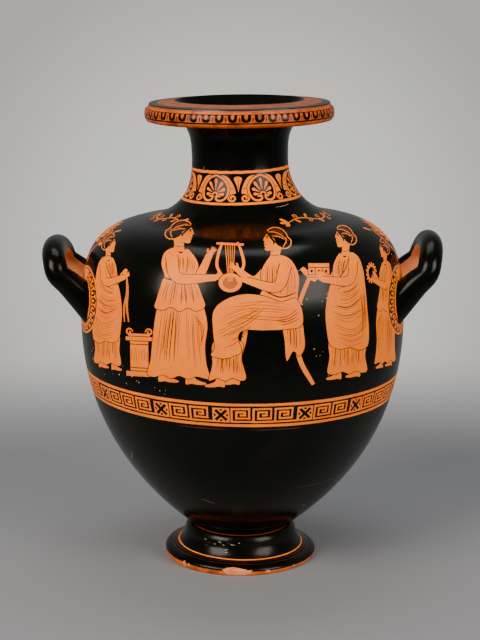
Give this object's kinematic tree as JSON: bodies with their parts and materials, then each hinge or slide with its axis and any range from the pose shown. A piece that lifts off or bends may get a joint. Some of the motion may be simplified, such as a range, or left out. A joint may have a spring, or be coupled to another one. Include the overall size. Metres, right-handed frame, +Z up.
{
  "type": "red-figure hydria",
  "caption": "Hollow fired-clay water jar with a wide belly, narrow neck, flat lip, disc foot, looped side handles and a back handle, black gloss with reserved figures.",
  "frame": {"origin": "on the standing surface, under the middle of the belly", "axes": "+Z up along the jar's axis, +X towards the right-hand lifting handle, +Y towards the back handle; the painted front faces -Y"},
  "size_m": [0.3926, 0.32, 0.4605],
  "materials": {
    "black_gloss": "glossy black slip with reserved orange clay"
  },
  "bodies": {
    "root": {"hydria": "black_gloss"}
  },
  "joints": []
}
